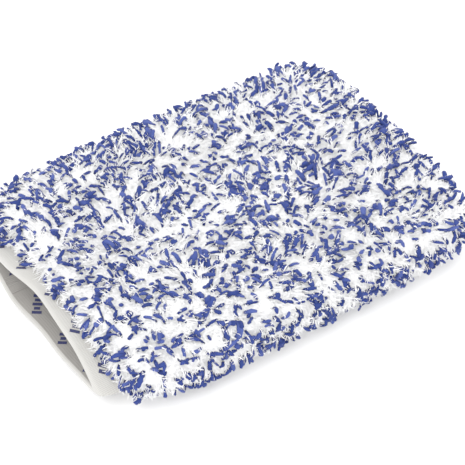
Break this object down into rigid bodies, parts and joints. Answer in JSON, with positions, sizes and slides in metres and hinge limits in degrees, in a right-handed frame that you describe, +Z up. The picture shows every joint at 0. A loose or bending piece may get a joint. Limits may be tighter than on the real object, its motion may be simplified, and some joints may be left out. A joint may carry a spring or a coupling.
{
  "type": "wash mitt",
  "caption": "Flat two-sided wash mitt of deep white and blue microfibre pile, with a lining and a folded ribbed elastic band round its mouth.",
  "frame": {"origin": "on the ground under the middle of the whole mitt as it lies flat", "axes": "+Z up, the mouth faces -Y, the closed end is at +Y, X is across the hand"},
  "size_m": [0.21, 0.288, 0.054],
  "materials": {
    "pile": "deep looped microfibre pile, white with blue tufts",
    "backing": "warp-knitted backing cloth",
    "lining": "smooth knitted lining",
    "cuff_band": "ribbed elastic band",
    "thread": "twisted polyester thread",
    "seam": "overlocked cloth edge"
  },
  "bodies": {
    "lower_half": {"lower_pile_rear": "pile", "lower_backing_rear": "backing", "lower_lining_rear": "lining", "cuff_lower": "cuff_band", "cuff_join": "cuff_band", "cuff_stitches_lower": "thread", "left_seam_rear": "seam", "right_seam_rear": "seam"},
    "upper_half": {"upper_pile_rear": "pile", "upper_backing_rear": "backing", "upper_lining_rear": "lining", "cuff_upper": "cuff_band", "cuff_stitches_upper": "thread"},
    "closed_end": {"upper_pile_front": "pile", "lower_pile_front": "pile", "upper_backing_front": "backing", "lower_backing_front": "backing", "upper_lining_front": "lining", "lower_lining_front": "lining", "left_seam_front": "seam", "right_seam_front": "seam", "end_seam": "seam"}
  },
  "joints": [
    {"name": "mouth_open", "type": "hinge", "parent": "lower_half", "child": "upper_half", "pos_m": [0, 0.015, 0.014], "axis": [-1, 0, 0], "range_deg": [0, 10]},
    {"name": "finger_curl", "type": "hinge", "parent": "lower_half", "child": "closed_end", "pos_m": [0, 0.015, 0.027], "axis": [1, 0, 0], "range_deg": [0, 20]}
  ]
}
